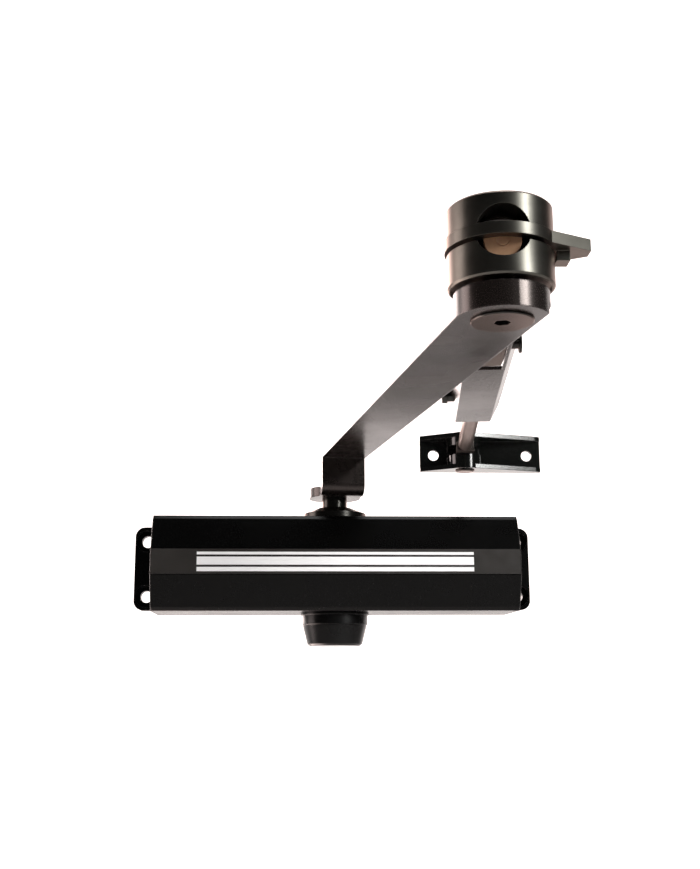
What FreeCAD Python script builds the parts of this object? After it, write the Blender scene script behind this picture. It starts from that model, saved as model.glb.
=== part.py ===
"""Surface-mounted door closer with a regular arm and a hold-open elbow.

The frame has its origin at the centre of the mounting face, +X along the body,
-Y away from the door and +Z up.  All lengths are in millimetres and all angles
in degrees.
"""
import FreeCAD, Part
import math
import os
import re

import Sketcher

doc = FreeCAD.newDocument("door_closer")
sheet = doc.addObject("Spreadsheet::Sheet", "Dims")

DIMENSIONS = {
    # housing
    "body_length": 186.0,
    "body_height": 48.0,
    "body_depth": 48.2,
    "band_half": 6.55,
    "facet_drop": 6.4,
    "facet_half": 22.2,
    "edge_chamfer": 1.8,
    "lug_span": 210.4,
    "lug_height": 43.8,
    "lug_thick": 9.0,
    "lug_corner": 5.0,
    "bolt_span": 198.0,
    "bolt_rise": 29.0,
    "bolt_hole_radius": 3.1,
    "bolt_seat_radius": 5.6,
    "bolt_seat_depth": 4.0,
    "bore_radius": 16.0,
    "bore_setback": 22.0,
    "body_edge_round": 0.8,
    # plugs and valves
    "plug_radius": 17.5,
    "plug_flange": 9.0,
    "plug_spigot": 6.4,
    "plug_inset": 0.6,
    "plug_socket": 12.0,
    "plug_socket_deep": 6.0,
    "ring_wire": 1.2,
    "valve_radius": 3.0,
    "valve_long": 16.0,
    "valve_setback": 38.0,
    "valve_rise": 17.5,
    "valve_slot": 1.0,
    # pinion, piston and spring
    "pinion_setback": 18.8,
    "gear_module": 1.5,
    "gear_teeth": 10.0,
    "pressure_angle": 25.0,
    "gear_backlash": 0.12,
    "gear_addendum": 1.35,
    "gear_dedendum": 1.5,
    "gear_half": 7.0,
    "shaft_relief": 5.6,
    "journal_radius": 6.5,
    "square_side": 10.0,
    "swing": 170.0,
    "head_left": 16.0,
    "head_right": 18.0,
    "slot_margin": 2.0,
    "fit": 0.05,
    "guide_wide": 4.0,
    "guide_deep": 1.5,
    "spring_wire": 2.0,
    "spring_clear": 2.5,
    "spring_turns": 5.5,
    "seat_thick": 3.0,
    "check_bore": 4.5,
    "check_deep": 10.0,
    "check_ball": 2.6,
    "check_port": 1.8,
    # bearings, seals, glands and cap
    "bush_radius": 10.0,
    "bush_long": 5.0,
    "gland_deep": 2.8,
    "seal_radius": 9.6,
    "seal_rise": 1.6,
    "gland_thread": 13.0,
    "collar_radius": 16.5,
    "collar_band": 3.6,
    "collar_rise": 6.6,
    "collar_top": 9.0,
    "gland_radius": 15.0,
    "gland_thick": 3.0,
    "cap_flange": 17.6,
    "cap_radius": 17.0,
    "cap_end": 13.8,
    "cap_flange_thick": 1.2,
    "cap_band": 6.0,
    "cap_long": 16.8,
    "cap_wall": 2.0,
    # label
    "label_thick": 0.4,
    "label_half": 6.2,
    "label_margin": 0.6,
    # main arm
    "arm_low": 36.0,
    "arm_high": 55.0,
    "arm_thick": 5.0,
    "arm_reach": 255.0,
    "arm_angle": 9.5,
    "hub_radius": 13.5,
    "arm_left_hub": 9.8,
    "arm_right": 12.2,
    "elbow_radius": 15.6,
    "riser_out": 18.0,
    "bend_radius": 5.5,
    "boss_rise": 3.6,
    "screw_radius": 3.0,
    "washer_radius": 8.0,
    "washer_thick": 1.6,
    "screw_head": 10.0,
    "screw_head_high": 4.0,
    # elbow
    "bolt_radius": 5.0,
    "stem_radius": 4.0,
    "bolt_head_radius": 10.3,
    "bolt_head_thick": 0.85,
    "bolt_socket": 5.0,
    "washer_gap": 0.4,
    "drum_radius": 17.45,
    "drum_wall": 2.95,
    "drum_floor": 3.0,
    "groove_inner": 9.0,
    "groove_deep": 1.6,
    "drum_rim": 1.2,
    "rim_step": 0.9,
    "drum_low_top": 76.5,
    "lever_low": 77.8,
    "lever_thick": 4.0,
    "lever_gap": 0.15,
    "drum_top": 92.4,
    "drum_roof": 86.4,
    "nut_recess": 8.2,
    "nut_recess_deep": 3.2,
    "nut_size": 13.0,
    "nut_thick": 2.8,
    "lever_over": 0.65,
    "handle_angle": 2.0,
    "spigot_wall": 1.6,
    "handle_reach": 29.3,
    "handle_tip": 2.6,
    "tab_drop": 3.4,
    "tab_thick": 4.4,
    "tab_half": 3.0,
    "window_radius": 8.7,
    "window_level": 79.3,
    "roller_radius": 6.0,
    "roller_drop": 1.75,
    "roller_recess": 4.85,
    "roller_long": 6.0,
    "roller_pin": 2.0,
    "cam_notch": 2.0,
    "cam_clear": 0.6,
    "roller_side": 0.4,
    "disc_outer": 8.4,
    "disc_thick": 0.6,
    "hold_angle": 95.0,
    # forearm
    "forearm_angle": 6.7,
    "tongue_end": 87.5,
    "tongue_half": 6.2,
    "tongue_high": 5.4,
    "neck_wider": 2.0,
    "neck_gap": 1.0,
    "trough_start": 56.0,
    "web_start": 93.0,
    "trough_end": 188.0,
    "trough_over": 7.0,
    "trough_low_half": 8.3,
    "trough_high_half": 13.0,
    "trough_high": 9.4,
    "trough_sheet": 1.5,
    "rivet_radius": 2.0,
    "rivet_head": 3.6,
    "rivet_head_thick": 1.0,
    "rivet_place": 67.0,
    "clamp_place": 158.5,
    "clamp_radius": 2.5,
    "clamp_head": 3.2,
    "clamp_head_thick": 2.6,
    "block_half": 11.0,
    "rod_start": 116.0,
    "rod_radius": 4.0,
    "rod_lift": 0.12,
    "spade_half": 4.7,
    "spade_thick": 5.0,
    "spade_long": 15.0,
    "block_wall": 1.6,
    "rod_fit": 0.08,
    # shoe
    "shoe_reach": 282.3,
    "shoe_low": 57.3,
    "shoe_high": 77.7,
    "shoe_sheet": 2.5,
    "shoe_left": 24.8,
    "shoe_right": 44.2,
    "shoe_back": 8.0,
    "shoe_lip": 5.0,
    "shoe_corner": 3.0,
    "shoe_nose": 9.0,
    "shoe_slot_back": 5.4,
    "shoe_slot_gap": 0.15,
    "shoe_hole_inset": 7.8,
    "shoe_hole_drop": 0.8,
    "shoe_hole_radius": 3.0,
    "pin_radius": 2.5,
    "pin_head": 5.5,
    "pin_head_thick": 1.0,
}

for row, (alias, size) in enumerate(DIMENSIONS.items(), start=1):
    sheet.set("A%d" % row, alias)
    sheet.set("B%d" % row, str(size))
    sheet.setAlias("B%d" % row, alias)
doc.recompute()

NODES = []
MAKERS = {"X": (FreeCAD.Vector(0, 1, 0), 90), "Y": (FreeCAD.Vector(1, 0, 0), -90),
          "Z": (FreeCAD.Vector(0, 0, 1), 0)}
WORD = re.compile(r"[a-z_]+")


def bound(text):
    """The expression with each dimension's name tied to its cell."""
    return WORD.sub(lambda word: "Dims." + word.group() if word.group() in DIMENSIONS else word.group(),
                    str(text))


def size_of(alias):
    """A cell's number, for the shapes that are worked out in code."""
    return float(sheet.get(alias))


def bind(item, **sizes):
    for prop, text in sizes.items():
        item.setExpression(prop, bound(text))
    return item


def place(item, at=("0", "0", "0"), turn=None):
    """Moves an object, and turns it about +Z."""
    for axis, text in zip("xyz", at):
        item.setExpression("Placement.Base." + axis, bound(text))
    if turn is not None:
        item.setExpression("Placement.Rotation.Angle", bound(turn))
    return item


def node(item, label):
    """Marks an object as a finished sub-part."""
    item.Label = label
    NODES.append(item)
    return item


def box(low, extent):
    """A box from its lowest corner and its three sides."""
    item = doc.addObject("Part::Box", "box")
    bind(item, Length=extent[0], Width=extent[1], Height=extent[2])
    return place(item, low)


def cylinder(radius, length, at=("0", "0", "0"), along="Z"):
    item = doc.addObject("Part::Cylinder", "cylinder")
    bind(item, Radius=radius, Height=length)
    axis, angle = MAKERS[along]
    item.Placement = FreeCAD.Placement(FreeCAD.Vector(), FreeCAD.Rotation(axis, angle))
    return place(item, at)


def torus(major, minor, at, along="X"):
    item = doc.addObject("Part::Torus", "torus")
    bind(item, Radius1=major, Radius2=minor)
    axis, angle = MAKERS[along]
    item.Placement = FreeCAD.Placement(FreeCAD.Vector(), FreeCAD.Rotation(axis, angle))
    return place(item, at)


def hexagon(across_flats, length, at, along="Z"):
    item = doc.addObject("Part::Prism", "hexagon")
    item.Polygon = 6
    bind(item, Circumradius="(%s) / (2 * cos(30))" % across_flats, Height=length)
    axis, angle = MAKERS[along]
    item.Placement = FreeCAD.Placement(FreeCAD.Vector(), FreeCAD.Rotation(axis, angle))
    return place(item, at)


def cut(base, *tools):
    """Takes the tools away from the base, one after the other."""
    for tool in tools:
        item = doc.addObject("Part::Cut", "cut")
        item.Base = base
        item.Tool = tool
        base = item
    return base


def fuse(*shapes):
    item = doc.addObject("Part::MultiFuse", "fuse")
    item.Shapes = list(shapes)
    item.Refine = True
    return item


def common(first, second):
    item = doc.addObject("Part::Common", "common")
    item.Base = first
    item.Tool = second
    return item


def group(*shapes):
    """Separate solids kept together as one node."""
    item = doc.addObject("Part::Compound", "group")
    item.Links = list(shapes)
    return item


def made(shape):
    """A shape from Part's own functions, as a document object."""
    item = doc.addObject("Part::Feature", "made")
    item.Shape = shape
    return item


def fillet(base, radius, pick):
    """Rounds the edges of a finished shape that the test picks."""
    doc.recompute()
    item = doc.addObject("Part::Fillet", "rounded")
    item.Base = base
    item.Edges = [(i + 1, radius, radius) for i, edge in enumerate(base.Shape.Edges) if pick(edge)]
    return item


def along_axis(edge, axis):
    """True for a straight edge that runs along the given axis."""
    if edge.Curve.TypeId != "Part::GeomLine":
        return False
    return abs(edge.tangentAt(edge.FirstParameter).dot(axis)) > 0.999


def outline(body, plane, points):
    """A closed polygon sketch on one of the body's own planes, with every corner bound."""
    sketch = body.newObject("Sketcher::SketchObject", body.Name + "_outline")
    support = [feature for feature in body.Origin.OriginFeatures if feature.Role == plane][0]
    sketch.AttachmentSupport = [(support, "")]
    sketch.MapMode = "FlatFace"
    count = len(points)
    start = [FreeCAD.Vector(10 * math.cos(2 * math.pi * i / count),
                            10 * math.sin(2 * math.pi * i / count), 0)
             for i in range(count)]
    for i in range(count):
        sketch.addGeometry(Part.LineSegment(start[i], start[(i + 1) % count]), False)
    for i in range(count):
        sketch.addConstraint(Sketcher.Constraint("Coincident", i, 2, (i + 1) % count, 1))
    for i, (across, up) in enumerate(points):
        for kind, first, text in (("DistanceX", start[i].x, across), ("DistanceY", start[i].y, up)):
            index = sketch.addConstraint(Sketcher.Constraint(kind, -1, 1, i, 1, first))
            name = "%s%d" % (kind, i)
            sketch.renameConstraint(index, name)
            sketch.setExpression("Constraints." + name, bound(text))
    return sketch


def prism(plane, points, length):
    """A polygon extruded from one of its body's planes."""
    body = doc.addObject("PartDesign::Body", "prism")
    sketch = outline(body, plane, points)
    pad = body.newObject("PartDesign::Pad", "pad")
    pad.Profile = sketch
    bind(pad, Length=length)
    return body


def turned(points):
    """A solid of revolution about Z from its (radius, height) corners."""
    body = doc.addObject("PartDesign::Body", "turned")
    sketch = outline(body, "XZ_Plane", points)
    revolution = body.newObject("PartDesign::Revolution", "revolution")
    revolution.Profile = sketch
    revolution.ReferenceAxis = (sketch, ["V_Axis"])
    revolution.Angle = 360
    return body


def tube(inner, outer, low, high):
    """A plain ring about Z."""
    return turned([(inner, low), (outer, low), (outer, high), (inner, high)])


# ---- housing ---------------------------------------------------------------

PINION_AT = ("0", "-pinion_setback", "0")
ARM_TURN = "arm_angle - 90"
BODY_HALF = "body_length / 2"
FACET_BACK = "body_depth - facet_drop"


def make_housing():
    section = prism("YZ_Plane", [
        ("0", "-body_height / 2"),
        ("0", "body_height / 2"),
        ("-(%s) + edge_chamfer" % FACET_BACK, "body_height / 2"),
        ("-(%s)" % FACET_BACK, "facet_half"),
        ("-body_depth", "band_half"),
        ("-body_depth", "-band_half"),
        ("-(%s)" % FACET_BACK, "-facet_half"),
        ("-(%s) + edge_chamfer" % FACET_BACK, "-body_height / 2"),
    ], "body_length")
    place(section, ("-" + BODY_HALF, "0", "0"))
    round_edges = size_of("body_edge_round")
    section = fillet(section, round_edges, lambda edge: edge.BoundBox.YMax < -1)
    plate = box(("-lug_span / 2", "-lug_thick", "-lug_height / 2"),
                ("lug_span", "lug_thick", "lug_height"))
    along_y = FreeCAD.Vector(0, 1, 0)
    plate = fillet(plate, size_of("lug_corner"), lambda edge: along_axis(edge, along_y))
    cuts = [cylinder("bore_radius", "body_length + 2", ("-%s - 1" % BODY_HALF, "-bore_setback", "0"),
                     "X")]
    counterbore = "plug_flange + plug_inset"
    for start in ("-%s - 1" % BODY_HALF, "%s - (%s)" % (BODY_HALF, counterbore)):
        cuts.append(cylinder("plug_radius", counterbore + " + 1", (start, "-bore_setback", "0"), "X"))
    for side in ("-1", "1"):
        for level in ("-1", "1"):
            at = (side + " * bolt_span / 2", "-lug_thick - 1", level + " * bolt_rise / 2")
            cuts.append(cylinder("bolt_hole_radius", "lug_thick + 2", at, "Y"))
            cuts.append(cylinder("bolt_seat_radius", "bolt_seat_depth + 1", at, "Y"))
    for level in ("-1", "1"):
        at = (BODY_HALF + " - valve_long - 2", "-valve_setback", level + " * valve_rise")
        cuts.append(cylinder("valve_radius + fit", "valve_long + 3", at, "X"))
    cuts.append(cylinder("bush_radius + 0.03", "body_height + 2",
                         ("0", "-pinion_setback", "-body_height / 2 - 1")))
    for start in ("-body_height / 2 - 1", "body_height / 2 - gland_deep"):
        cuts.append(cylinder("gland_thread + 0.02", "gland_deep + 1", ("0", "-pinion_setback", start)))
    node(cut(fuse(section, plate), *cuts), "body_casting")


def make_label():
    half = "body_length / 2 - label_margin"
    low = ("-(%s)" % half, "-body_depth - label_thick", "-label_half")
    node(box(low, ("2 * (%s)" % half, "label_thick", "2 * label_half")), "label_strip")


# ---- plugs and valves ------------------------------------------------------

def make_plug(side, label):
    """A screwed plug with a spigot, an O-ring groove and a hex socket, along +X from its inner end."""
    total = "(plug_spigot + plug_flange)"
    groove = "plug_spigot / 2"
    profile = turned([
        ("0", "0"),
        ("bore_radius - fit", "0"),
        ("bore_radius - fit", groove + " - ring_wire - 0.1"),
        ("bore_radius - 2 * ring_wire - 0.1", groove + " - ring_wire - 0.1"),
        ("bore_radius - 2 * ring_wire - 0.1", groove + " + ring_wire + 0.1"),
        ("bore_radius - fit", groove + " + ring_wire + 0.1"),
        ("bore_radius - fit", "plug_spigot"),
        ("plug_radius - fit", "plug_spigot"),
        ("plug_radius - fit", total + " - 0.6"),
        ("plug_radius - fit - 0.6", total),
        ("0", total),
    ])
    solid = cut(profile,
                hexagon("plug_socket", "plug_socket_deep + 1", ("0", "0", total + " - plug_socket_deep")))
    turn = 90 if side > 0 else -90
    solid.Placement = FreeCAD.Placement(FreeCAD.Vector(), FreeCAD.Rotation(FreeCAD.Vector(0, 1, 0), turn))
    start = "%d * (%s - plug_inset - %s)" % (side, BODY_HALF, total)
    node(place(solid, (start, "-bore_setback", "0")), label)


def make_plug_rings():
    major = "bore_radius - ring_wire - 0.02"
    middle = "body_length / 2 - plug_inset - plug_flange - plug_spigot / 2"
    rings = [torus(major, "ring_wire",
                   ("%d * (%s)" % (side, middle), "-bore_setback", "0")) for side in (-1, 1)]
    node(group(*rings), "plug_o_rings")


def make_valve(level, label):
    """A slotted adjusting screw in the right end face, with a needle tip and a ring groove."""
    profile = turned([
        ("0", "0"),
        ("0.4", "0"),
        ("valve_radius - 1.4", "3"),
        ("valve_radius", "3"),
        ("valve_radius", "5"),
        ("valve_radius - 1.1", "5"),
        ("valve_radius - 1.1", "6.4"),
        ("valve_radius", "6.4"),
        ("valve_radius", "valve_long"),
        ("0", "valve_long"),
    ])
    slot = box(("-valve_radius - 1", "-valve_slot / 2", "valve_long - 1.5"),
               ("2 * valve_radius + 2", "valve_slot", "3"))
    solid = cut(profile, slot)
    solid.Placement = FreeCAD.Placement(FreeCAD.Vector(), FreeCAD.Rotation(FreeCAD.Vector(0, 1, 0), 90))
    at = (BODY_HALF + " - valve_long - 0.5", "-valve_setback", "%d * valve_rise" % level)
    node(place(solid, at), label)


def make_valve_rings():
    start = BODY_HALF + " - valve_long - 0.5 + 5.7"
    rings = [torus("valve_radius - 0.5", "0.5", (start, "-valve_setback", "%d * valve_rise" % level))
             for level in (1, -1)]
    node(rings[0], "closing_valve_ring")
    node(rings[1], "latching_valve_ring")


# ---- pinion, piston and spring ----------------------------------------------

def involute(angle):
    return math.tan(angle) - angle


def polar(radius, angle):
    return FreeCAD.Vector(radius * math.cos(angle), radius * math.sin(angle), 0)


def gear_face():
    """The pinion's section, with a gap centred on -Y."""
    count = int(size_of("gear_teeth"))
    pitch = size_of("gear_module") * count / 2
    pressure = math.radians(size_of("pressure_angle"))
    base = pitch * math.cos(pressure)
    tip = pitch + size_of("gear_addendum")
    root = pitch - size_of("gear_dedendum")
    half_tooth = math.pi / (2 * count) - size_of("gear_backlash") / (2 * pitch)
    flank_steps = 6
    edges = []
    step = 2 * math.pi / count
    for tooth in range(count):
        middle = -math.pi / 2 + (tooth + 0.5) * step
        radii = [base + (tip - base) * i / flank_steps for i in range(flank_steps + 1)]
        spread = [half_tooth + involute(pressure) - involute(math.acos(base / radius)) for radius in radii]
        for side in (-1, 1):
            flank = Part.BSplineCurve()
            flank.interpolate([polar(radius, middle + side * turn) for radius,
                               turn in zip(radii, spread)])
            edges.append(flank.toShape())
            foot = polar(root, middle + side * spread[0])
            edges.append(Part.makeLine(foot, polar(base, middle + side * spread[0])))
        edges.append(Part.Arc(polar(tip, middle - spread[-1]), polar(tip, middle),
                              polar(tip, middle + spread[-1])).toShape())
        gap = middle + step / 2
        edges.append(Part.Arc(polar(root, middle + spread[0]), polar(root, gap),
                              polar(root, middle + step - spread[0])).toShape())
    return Part.Face(Part.Wire(Part.__sortEdges__(edges)))


def make_pinion():
    """The toothed shaft: teeth in the middle, relieved necks, journals and square ends."""
    half = size_of("gear_half")
    teeth = made(gear_face().extrude(FreeCAD.Vector(0, 0, 2 * half)))
    place(teeth, ("0", "0", "-gear_half"))
    journal_in = "body_height / 2 - gland_deep - bush_long"
    shaft = turned([
        ("0", "-cap_long - body_height / 2 + cap_wall + 1"),
        ("journal_radius", "-cap_long - body_height / 2 + cap_wall + 1"),
        ("journal_radius", "-(%s)" % journal_in),
        ("shaft_relief", "-(%s)" % journal_in),
        ("shaft_relief", journal_in),
        ("journal_radius", journal_in),
        ("journal_radius", "arm_low + arm_thick - 0.3"),
        ("0", "arm_low + arm_thick - 0.3"),
    ])
    squares = []
    for start, length in (("arm_low", "arm_thick + 1"), ("-body_height / 2 - cap_long", "8 + cap_wall")):
        block = box(("-20", "-20", start), ("40", "40", length))
        keep = box(("-square_side / 2", "-square_side / 2", start + " - 1"),
                   ("square_side", "square_side", length + " + 2"))
        squares.append(place(cut(block, keep), turn=ARM_TURN))
    thread = cylinder("screw_radius", "16", ("0", "0", "arm_low + arm_thick - 15"))
    node(place(cut(fuse(shaft, teeth), *squares, thread), PINION_AT), "pinion_shaft")


PITCH_RADIUS = "(gear_module * gear_teeth / 2)"
TRAVEL = "(%s * swing * pi / 180)" % PITCH_RADIUS
SLOT_LEFT = "(%s + gear_addendum + slot_margin)" % PITCH_RADIUS
SLOT_RIGHT = "(%s + %s)" % (SLOT_LEFT, TRAVEL)
RACK_ROOT = "(pinion_setback + %s + gear_addendum + 0.3)" % PITCH_RADIUS
PISTON_LEFT = "(%s + head_left)" % SLOT_LEFT
PISTON_RIGHT = "(%s + head_right)" % SLOT_RIGHT


def rack_teeth():
    """Straight-sided teeth that stand on the window's front wall and point at the pinion."""
    module = size_of("gear_module")
    pitch = math.pi * module
    pitch_radius = module * size_of("gear_teeth") / 2
    line = -size_of("pinion_setback") - pitch_radius
    tip = size_of("gear_dedendum") - 0.3
    root = size_of("gear_addendum") + 0.6
    slope = math.tan(math.radians(size_of("pressure_angle")))
    half = pitch / 4 - size_of("gear_backlash") / 2
    reach = pitch_radius * math.radians(size_of("swing")) + pitch_radius
    teeth = []
    for index in range(-2, int(reach / pitch) + 1):
        middle = index * pitch
        corners = [(-half - root * slope, -root), (half + root * slope, -root),
                   (half - tip * slope, tip), (-half + tip * slope, tip)]
        points = [FreeCAD.Vector(middle + across, line + rise, 0) for across, rise in corners]
        face = Part.Face(Part.makePolygon(points + points[:1]))
        teeth.append(face.extrude(FreeCAD.Vector(0, 0, 2 * size_of("gear_half") - 0.4)))
    return Part.makeCompound(teeth)


def make_piston():
    barrel = cylinder("bore_radius - fit", PISTON_LEFT + " + " + PISTON_RIGHT,
                      ("-" + PISTON_LEFT, "-bore_setback", "0"), "X")
    window = box(("-" + SLOT_LEFT, "-" + RACK_ROOT, "-bore_radius - 1"),
                 (SLOT_LEFT + " + " + SLOT_RIGHT,
                  RACK_ROOT + " - pinion_setback + %s + gear_addendum + 0.5" % PITCH_RADIUS,
                  "2 * bore_radius + 2"))
    valve_room = cylinder("check_bore", "check_deep + 1",
                          (PISTON_RIGHT + " - check_deep", "-bore_setback", "0"), "X")
    port = cylinder("check_port", "head_right + 2", (SLOT_RIGHT + " - 1", "-bore_setback", "0"), "X")
    grooves = []
    for start in ("-" + PISTON_LEFT + " + 4", PISTON_RIGHT + " - 4 - guide_wide"):
        ring = cut(cylinder("bore_radius + 1", "guide_wide", (start, "-bore_setback", "0"), "X"),
                   cylinder("bore_radius - guide_deep", "guide_wide", (start, "-bore_setback", "0"), "X"))
        grooves.append(ring)
    rack = made(rack_teeth())
    place(rack, ("0", "0", "-gear_half + 0.2"))
    node(fuse(cut(barrel, window, valve_room, port, *grooves), rack), "piston")
    rings = []
    for start in ("-" + PISTON_LEFT + " + 4", PISTON_RIGHT + " - 4 - guide_wide"):
        at = (start + " + 0.05", "-bore_setback", "0")
        rings.append(cut(cylinder("bore_radius - 0.02", "guide_wide - 0.1", at, "X"),
                         cylinder("bore_radius - guide_deep + 0.02", "guide_wide - 0.1", at, "X")))
    node(group(*rings), "piston_guide_rings")


def make_check_valve():
    seat = turned([
        ("check_port", "0"),
        ("check_bore - 0.02", "0"),
        ("check_bore - 0.02", "3"),
        ("check_port", "3"),
    ])
    seat.Placement = FreeCAD.Placement(FreeCAD.Vector(), FreeCAD.Rotation(FreeCAD.Vector(0, 1, 0), 90))
    node(place(seat, (PISTON_RIGHT + " - 3.2", "-bore_setback", "0")), "check_valve_seat")
    ball = doc.addObject("Part::Sphere", "ball")
    bind(ball, Radius="check_ball")
    gap = "sqrt(check_ball ^ 2 - check_port ^ 2)"
    node(place(ball, (PISTON_RIGHT + " - 3.2 - %s - 0.02" % gap, "-bore_setback", "0")),
         "check_valve_ball")


SPRING_MEAN = "(bore_radius - spring_clear - spring_wire)"
PLUG_INNER = "(body_length / 2 - plug_inset - plug_flange - plug_spigot)"


def make_spring():
    seat = turned([
        (SPRING_MEAN + " - spring_wire - 3", "0"),
        ("bore_radius - 0.4", "0"),
        ("bore_radius - 0.4", "seat_thick"),
        (SPRING_MEAN + " - spring_wire - 0.3", "seat_thick"),
        (SPRING_MEAN + " - spring_wire - 0.3", "seat_thick + 2"),
        (SPRING_MEAN + " - spring_wire - 3", "seat_thick + 2"),
    ])
    seat.Placement = FreeCAD.Placement(FreeCAD.Vector(), FreeCAD.Rotation(FreeCAD.Vector(0, 1, 0), 90))
    node(place(seat, ("-%s" % PLUG_INNER, "-bore_setback", "0")), "spring_seat")
    pitch_radius = size_of("gear_module") * size_of("gear_teeth") / 2
    slot_left = pitch_radius + size_of("gear_addendum") + size_of("slot_margin")
    piston_left = slot_left + size_of("head_left")
    plug_thick = size_of("plug_flange") + size_of("plug_spigot")
    plug_inner = size_of("body_length") / 2 - size_of("plug_inset") - plug_thick
    wire = size_of("spring_wire")
    mean = size_of("bore_radius") - size_of("spring_clear") - wire
    end_gap = 0.1
    room = plug_inner - size_of("seat_thick") - piston_left - 2 * end_gap
    climb = room - 2 * wire
    helix = Part.makeHelix(climb / size_of("spring_turns"), climb, mean)
    section = Part.Wire(Part.makeCircle(wire, FreeCAD.Vector(mean, 0, 0), FreeCAD.Vector(0, 1, 0)))
    coil = Part.Wire(helix).makePipeShell([section], True, True)
    spring = made(coil)
    spring.Placement = FreeCAD.Placement(
        FreeCAD.Vector(-piston_left - end_gap - wire - climb, -size_of("bore_setback"), 0),
        FreeCAD.Rotation(FreeCAD.Vector(0, 1, 0), 90))
    node(spring, "main_spring")


# ---- bearings, seals, glands and cap -----------------------------------------

def make_bearings():
    """Each side of the body: a bush, and a lip seal outside it; the upper ones mirror the lower."""
    bush_in = "body_height / 2 - gland_deep - bush_long"
    bush_out = "body_height / 2 - gland_deep"
    seal_out = "body_height / 2 + seal_rise"
    for name, side in (("upper", ""), ("lower", "-")):
        low, high, top = ("%s(%s)" % (side, text) for text in (bush_in, bush_out, seal_out))
        bush = tube("journal_radius + fit", "bush_radius", low, high)
        node(place(bush, PINION_AT), name + "_bush")
        seal = turned([
            ("journal_radius + 0.02", "%s(%s + 0.1)" % (side, bush_out)),
            ("seal_radius", "%s(%s + 0.1)" % (side, bush_out)),
            ("seal_radius", top),
            ("seal_radius - 1.4", top),
            ("seal_radius - 1.4", "%s(%s + 1.3)" % (side, bush_out)),
            ("journal_radius + 1.2", "%s(%s + 1.3)" % (side, bush_out)),
            ("journal_radius + 1.2", top),
            ("journal_radius + 0.02", top),
        ])
        node(place(seal, PINION_AT), name + "_seal")


def make_glands():
    bottom = "body_height / 2 - gland_deep + 0.05"
    collar = turned([
        ("seal_radius + 0.02", bottom),
        ("gland_thread", bottom),
        ("gland_thread", "body_height / 2"),
        ("collar_radius", "body_height / 2"),
        ("collar_radius", "body_height / 2 + collar_band"),
        ("collar_top", "body_height / 2 + collar_rise"),
        ("journal_radius + 0.4", "body_height / 2 + collar_rise"),
        ("journal_radius + 0.4", "body_height / 2 + seal_rise + 0.05"),
        ("seal_radius + 0.02", "body_height / 2 + seal_rise + 0.05"),
    ])
    node(place(collar, PINION_AT), "top_collar")
    gland = turned([
        ("seal_radius + 0.02", "-(%s)" % bottom),
        ("gland_thread", "-(%s)" % bottom),
        ("gland_thread", "-body_height / 2"),
        ("gland_radius", "-body_height / 2"),
        ("gland_radius", "-body_height / 2 - gland_thick"),
        ("journal_radius + 0.4", "-body_height / 2 - gland_thick"),
        ("journal_radius + 0.4", "-body_height / 2 - seal_rise - 0.05"),
        ("seal_radius + 0.02", "-body_height / 2 - seal_rise - 0.05"),
    ])
    node(place(gland, PINION_AT), "bottom_gland")
    cap = turned([
        ("gland_radius + fit", "-body_height / 2 - 0.05"),
        ("cap_flange", "-body_height / 2 - 0.05"),
        ("cap_flange", "-body_height / 2 - cap_flange_thick"),
        ("cap_radius", "-body_height / 2 - cap_flange_thick"),
        ("cap_radius", "-body_height / 2 - cap_band"),
        ("cap_radius - 0.5", "-body_height / 2 - cap_band - 0.2"),
        ("cap_radius - 0.5", "-body_height / 2 - cap_band - 0.6"),
        ("cap_end + 0.4", "-body_height / 2 - cap_long + 1"),
        ("cap_end - 0.8", "-body_height / 2 - cap_long"),
        ("0", "-body_height / 2 - cap_long"),
        ("0", "-body_height / 2 - cap_long + cap_wall"),
        ("cap_end - cap_wall", "-body_height / 2 - cap_long + cap_wall"),
        ("cap_end - cap_wall", "-body_height / 2 - cap_band"),
        ("gland_radius + fit", "-body_height / 2 - gland_thick - 0.2"),
    ])
    node(place(cap, PINION_AT), "pinion_cap")


# ---- main arm ----------------------------------------------------------------

ELBOW_AT = ("arm_reach * sin(arm_angle)", "-pinion_setback - arm_reach * cos(arm_angle)", "0")


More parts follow.
